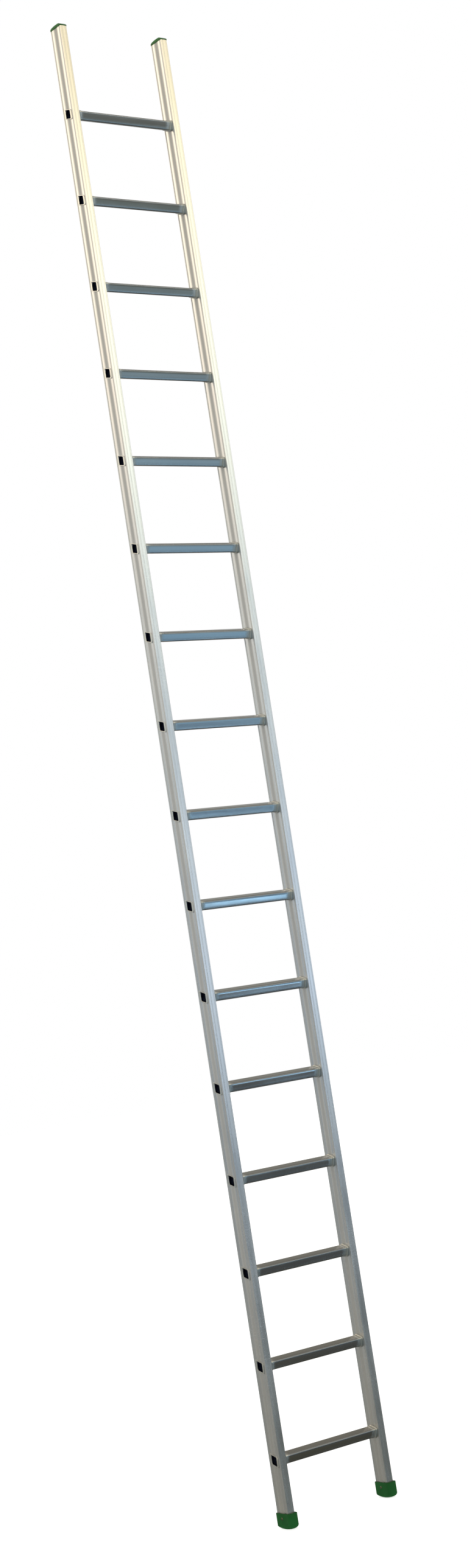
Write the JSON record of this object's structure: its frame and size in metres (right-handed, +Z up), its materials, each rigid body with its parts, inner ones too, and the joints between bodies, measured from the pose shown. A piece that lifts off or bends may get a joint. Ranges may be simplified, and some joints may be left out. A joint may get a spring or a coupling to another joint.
{
  "type": "ladder",
  "caption": "Single-section aluminium rung ladder with square rungs flared through box stiles, plastic top caps and rocker foot boots, for leaning on a wall.",
  "frame": {"origin": "on the ground, in the middle between the two feet", "axes": "+X along the rungs to the right stile, +Y away from the climber towards the wall, +Z up the stiles"},
  "size_m": [0.4288, 0.069, 4.701],
  "materials": {
    "stile_aluminium": "extruded mill finish, satin, with fine lengthwise die lines",
    "rung_aluminium": "extruded mill finish, brighter than the stiles",
    "cap_plastic": "moulded, satin, dark green",
    "boot_plastic": "moulded, satin, green",
    "rivet_aluminium": "dull blind rivet"
  },
  "bodies": {
    "root": {"left_stile": "stile_aluminium", "left_top_cap": "cap_plastic", "left_foot_boot": "boot_plastic", "left_foot_rivets": "rivet_aluminium", "right_stile": "stile_aluminium", "right_top_cap": "cap_plastic", "right_foot_boot": "boot_plastic", "right_foot_rivets": "rivet_aluminium", "rung_01": "rung_aluminium", "rung_02": "rung_aluminium", "rung_03": "rung_aluminium", "rung_04": "rung_aluminium", "rung_05": "rung_aluminium", "rung_06": "rung_aluminium", "rung_07": "rung_aluminium", "rung_08": "rung_aluminium", "rung_09": "rung_aluminium", "rung_10": "rung_aluminium", "rung_11": "rung_aluminium", "rung_12": "rung_aluminium", "rung_13": "rung_aluminium", "rung_14": "rung_aluminium", "rung_15": "rung_aluminium", "rung_16": "rung_aluminium"}
  },
  "joints": []
}
